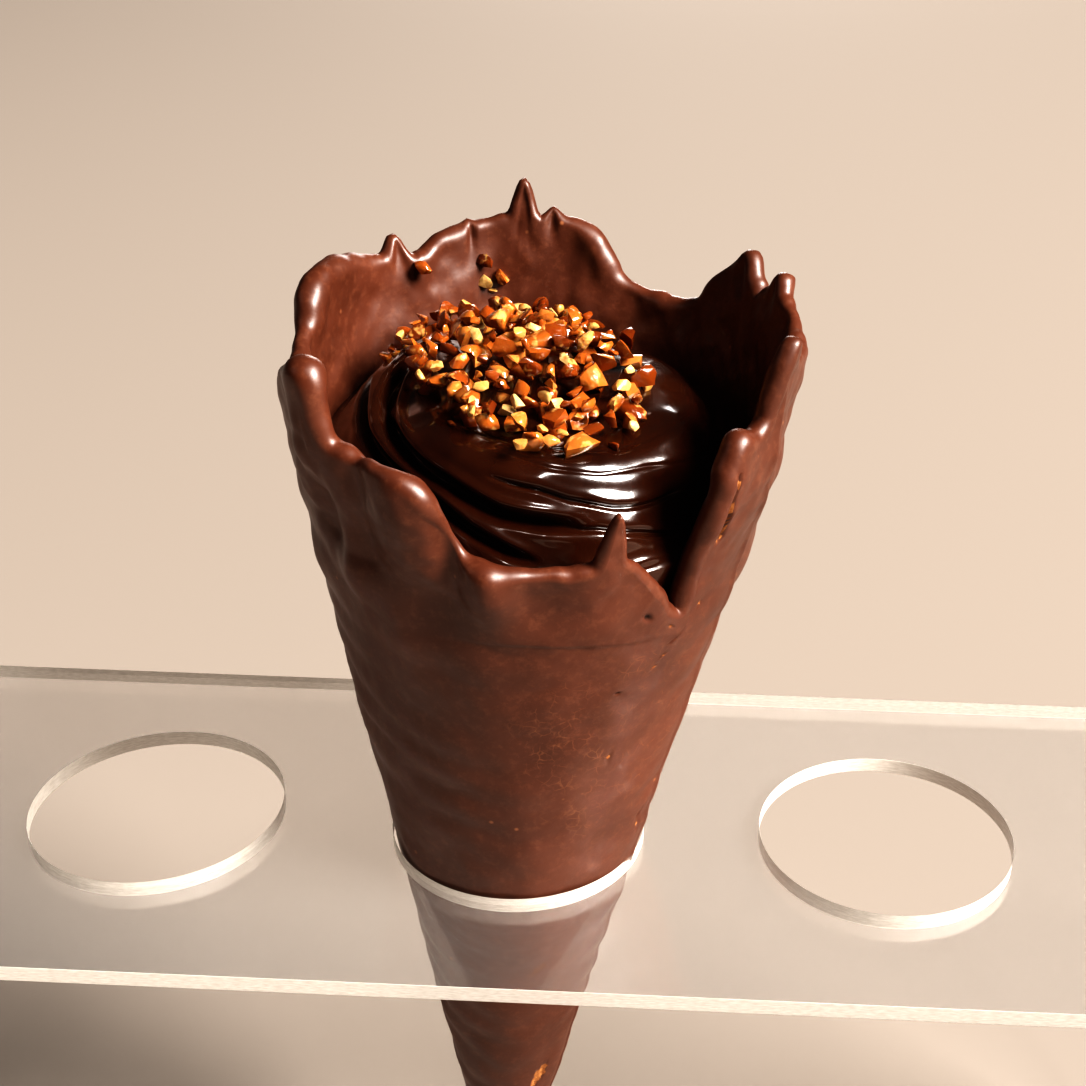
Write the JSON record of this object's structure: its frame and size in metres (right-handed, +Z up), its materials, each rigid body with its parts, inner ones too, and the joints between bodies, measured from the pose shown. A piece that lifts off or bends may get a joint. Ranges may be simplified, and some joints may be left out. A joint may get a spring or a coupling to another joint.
{
  "type": "brigadeiro cone",
  "caption": "Rolled wafer cone dipped in dark chocolate with a ragged crown, filled with a piped brigadeiro swirl under chopped caramel nuts, upright in a clear acrylic cone stand.",
  "frame": {"origin": "on the surface the stand's feet rest on, under the middle of the stand and of the hole that holds the cone", "axes": "+Z up; +X along the row of holes, to the right of someone facing the low front of the crown; +Y away from them"},
  "size_m": [0.188, 0.06, 0.1584],
  "materials": {
    "clear_acrylic": "clear cast acrylic sheet, polished faces, bright frosted cut edges",
    "dipping_chocolate": "satin set chocolate, waxy sheen, small pits",
    "brigadeiro": "very glossy soft chocolate cream",
    "caramel_nut": "glossy caramelised chopped nut, with pale broken faces",
    "wafer": "dry baked wafer in cracks and chips of the chocolate"
  },
  "bodies": {
    "root": {"acrylic_stand": "clear_acrylic", "cone_shell": "dipping_chocolate", "brigadeiro_filling": "brigadeiro"}
  },
  "joints": []
}
